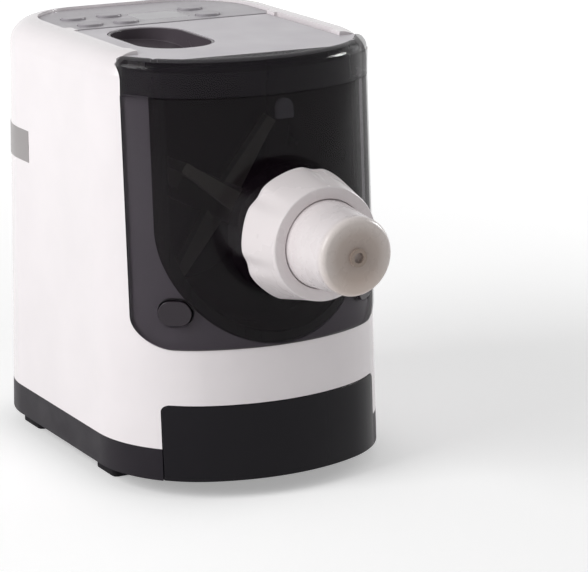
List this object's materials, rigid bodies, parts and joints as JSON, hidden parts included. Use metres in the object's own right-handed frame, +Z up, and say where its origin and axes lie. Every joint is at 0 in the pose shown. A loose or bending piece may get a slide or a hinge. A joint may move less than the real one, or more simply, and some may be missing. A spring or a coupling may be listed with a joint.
{
  "type": "electric pasta maker",
  "caption": "Counter-top electric pasta maker with a smoked mixing chamber, screw extruder with clamp nut and die, hinged pouring lid, push-button panel and storage drawer.",
  "frame": {"origin": "middle of the bounding box in X and Y, on the table under the feet", "axes": "+X to the right of the machine, +Y from the die to the back, +Z up"},
  "size_m": [0.2086, 0.3728, 0.3002],
  "materials": {
    "housing_shell": "warm white, moulded, glossy",
    "base_pan": "charcoal, fine texture",
    "rubber_feet": "black",
    "base_screws": "zinc plated",
    "rear_band": "grey",
    "vent_grille": "charcoal",
    "mains_inlet": "black",
    "inlet_pins": "nickel plated",
    "chassis": "glass-filled",
    "front_frame": "black",
    "mixing_chamber": "smoked, food-safe",
    "shaft_seal": "red-brown silicone",
    "front_panel": "smoked and clear",
    "panel_gasket": "black silicone",
    "lid_catch": "clear",
    "control_panel": "mid grey, satin",
    "display_window": "dark grey, glossy",
    "control_board": "green laminate",
    "gearbox_front_plate": "stamped",
    "gearbox_rear_plate": "stamped",
    "gearbox_pillars": "turned",
    "front_bearing": "sintered bronze",
    "rear_bearing": "sintered bronze",
    "idler_pin": "ground",
    "motor_stator": "laminated",
    "motor_front_bell": "cast",
    "motor_rear_bell": "cast",
    "motor_bolts": "zinc plated",
    "power_board": "green laminate",
    "reed_switch": "cream",
    "drawer_runners": "charcoal",
    "lid_plate": "light grey, satin",
    "lid_cover": "smoked",
    "pouring_tray": "smoked, dark",
    "lid_hinge_pins": "ground",
    "lid_magnet": "plated",
    "drawer_tray": "charcoal",
    "drawer_front": "black, glossy",
    "output_shaft": "ground",
    "output_gear": "natural nylon",
    "mixing_paddle": "off-white",
    "auger": "off-white",
    "compound_gear": "natural nylon",
    "motor_rotor": "laminated",
    "motor_pinion": "cut",
    "cooling_fan": "white nylon",
    "spaghetti_die": "milky white",
    "die_seal": "red silicone",
    "clamp_nut": "white, moulded",
    "button": "grey, satin",
    "release_button": "dark"
  },
  "bodies": {
    "machine": {"housing_shell": "housing_shell", "base_pan": "base_pan", "rubber_feet": "rubber_feet", "base_screws": "base_screws", "rear_band": "rear_band", "vent_grille": "vent_grille", "mains_inlet": "mains_inlet", "inlet_pins": "inlet_pins", "chassis": "chassis", "front_frame": "front_frame", "mixing_chamber": "mixing_chamber", "shaft_seal": "shaft_seal", "front_panel": "front_panel", "panel_gasket": "panel_gasket", "lid_catch": "lid_catch", "control_panel": "control_panel", "display_window": "display_window", "control_board": "control_board", "gearbox_front_plate": "gearbox_front_plate", "gearbox_rear_plate": "gearbox_rear_plate", "gearbox_pillars": "gearbox_pillars", "front_bearing": "front_bearing", "rear_bearing": "rear_bearing", "idler_pin": "idler_pin", "motor_stator": "motor_stator", "motor_front_bell": "motor_front_bell", "motor_rear_bell": "motor_rear_bell", "motor_bolts": "motor_bolts", "power_board": "power_board", "reed_switch": "reed_switch", "drawer_runners": "drawer_runners"},
    "lid": {"lid_plate": "lid_plate", "lid_cover": "lid_cover", "pouring_tray": "pouring_tray", "lid_hinge_pins": "lid_hinge_pins", "lid_magnet": "lid_magnet"},
    "power_key": {"power_button": "button"},
    "start_key": {"start_button": "button"},
    "weight_key": {"weight_button": "button"},
    "program_key": {"program_button": "button"},
    "extrude_key": {"extrude_button": "button"},
    "timer_key": {"timer_button": "button"},
    "release_left": {"release_button_left": "release_button"},
    "release_right": {"release_button_right": "release_button"},
    "drawer": {"drawer_tray": "drawer_tray", "drawer_front": "drawer_front"},
    "mixer": {"output_shaft": "output_shaft", "output_gear": "output_gear", "mixing_paddle": "mixing_paddle", "auger": "auger"},
    "idler": {"compound_gear": "compound_gear"},
    "rotor": {"motor_rotor": "motor_rotor", "motor_pinion": "motor_pinion", "cooling_fan": "cooling_fan"},
    "die": {"spaghetti_die": "spaghetti_die", "die_seal": "die_seal"},
    "nut": {"clamp_nut": "clamp_nut"}
  },
  "joints": [
    {"name": "lid_hinge", "type": "hinge", "parent": "machine", "child": "lid", "pos_m": [0, 0.07586, 0.2945], "axis": [-1, 0, 0], "range_deg": [0, 85]},
    {"name": "power_press", "type": "slide", "parent": "machine", "child": "power_key", "axis": [0, 0, -1], "range_m": [0, 0.001], "stiffness_N_per_m": 600, "springref_m": -0.0005},
    {"name": "start_press", "type": "slide", "parent": "machine", "child": "start_key", "axis": [0, 0, -1], "range_m": [0, 0.001], "stiffness_N_per_m": 600, "springref_m": -0.0005},
    {"name": "weight_press", "type": "slide", "parent": "machine", "child": "weight_key", "axis": [0, 0, -1], "range_m": [0, 0.001], "stiffness_N_per_m": 600, "springref_m": -0.0005},
    {"name": "program_press", "type": "slide", "parent": "machine", "child": "program_key", "axis": [0, 0, -1], "range_m": [0, 0.001], "stiffness_N_per_m": 600, "springref_m": -0.0005},
    {"name": "extrude_press", "type": "slide", "parent": "machine", "child": "extrude_key", "axis": [0, 0, -1], "range_m": [0, 0.001], "stiffness_N_per_m": 600, "springref_m": -0.0005},
    {"name": "timer_press", "type": "slide", "parent": "machine", "child": "timer_key", "axis": [0, 0, -1], "range_m": [0, 0.001], "stiffness_N_per_m": 600, "springref_m": -0.0005},
    {"name": "release_left_press", "type": "slide", "parent": "machine", "child": "release_left", "axis": [0.6076, 0.7942, 0], "range_m": [0, 0.0025], "stiffness_N_per_m": 500, "springref_m": -0.001},
    {"name": "release_right_press", "type": "slide", "parent": "machine", "child": "release_right", "axis": [-0.6076, 0.7942, 0], "range_m": [0, 0.0025], "stiffness_N_per_m": 500, "springref_m": -0.001},
    {"name": "drawer_slide", "type": "slide", "parent": "machine", "child": "drawer", "axis": [0, -1, 0], "range_m": [0, 0.1]},
    {"name": "mixer_turn", "type": "hinge", "parent": "machine", "child": "mixer", "pos_m": [0, 0.07036, 0.184], "axis": [0, 1, 0], "continuous": true},
    {"name": "idler_turn", "type": "hinge", "parent": "machine", "child": "idler", "pos_m": [0.03776, 0.10036, 0.13737], "axis": [0, 1, 0], "continuous": true},
    {"name": "rotor_turn", "type": "hinge", "parent": "machine", "child": "rotor", "pos_m": [0, 0.12036, 0.11289], "axis": [0, 1, 0], "continuous": true},
    {"name": "die_slide", "type": "slide", "parent": "machine", "child": "die", "axis": [0, -1, 0], "range_m": [0, 0.028]},
    {"name": "nut_turn", "type": "hinge", "parent": "die", "child": "nut", "pos_m": [0, -0.13964, 0.184], "axis": [0, 1, 0], "range_deg": [0, 1700]}
  ],
  "couplings": [
    {"joint": "idler_turn", "follows": "mixer_turn", "ratio": -4},
    {"joint": "rotor_turn", "follows": "mixer_turn", "ratio": 16},
    {"joint": "nut_turn", "follows": "die_slide", "rad_per_m": 1047.2}
  ]
}
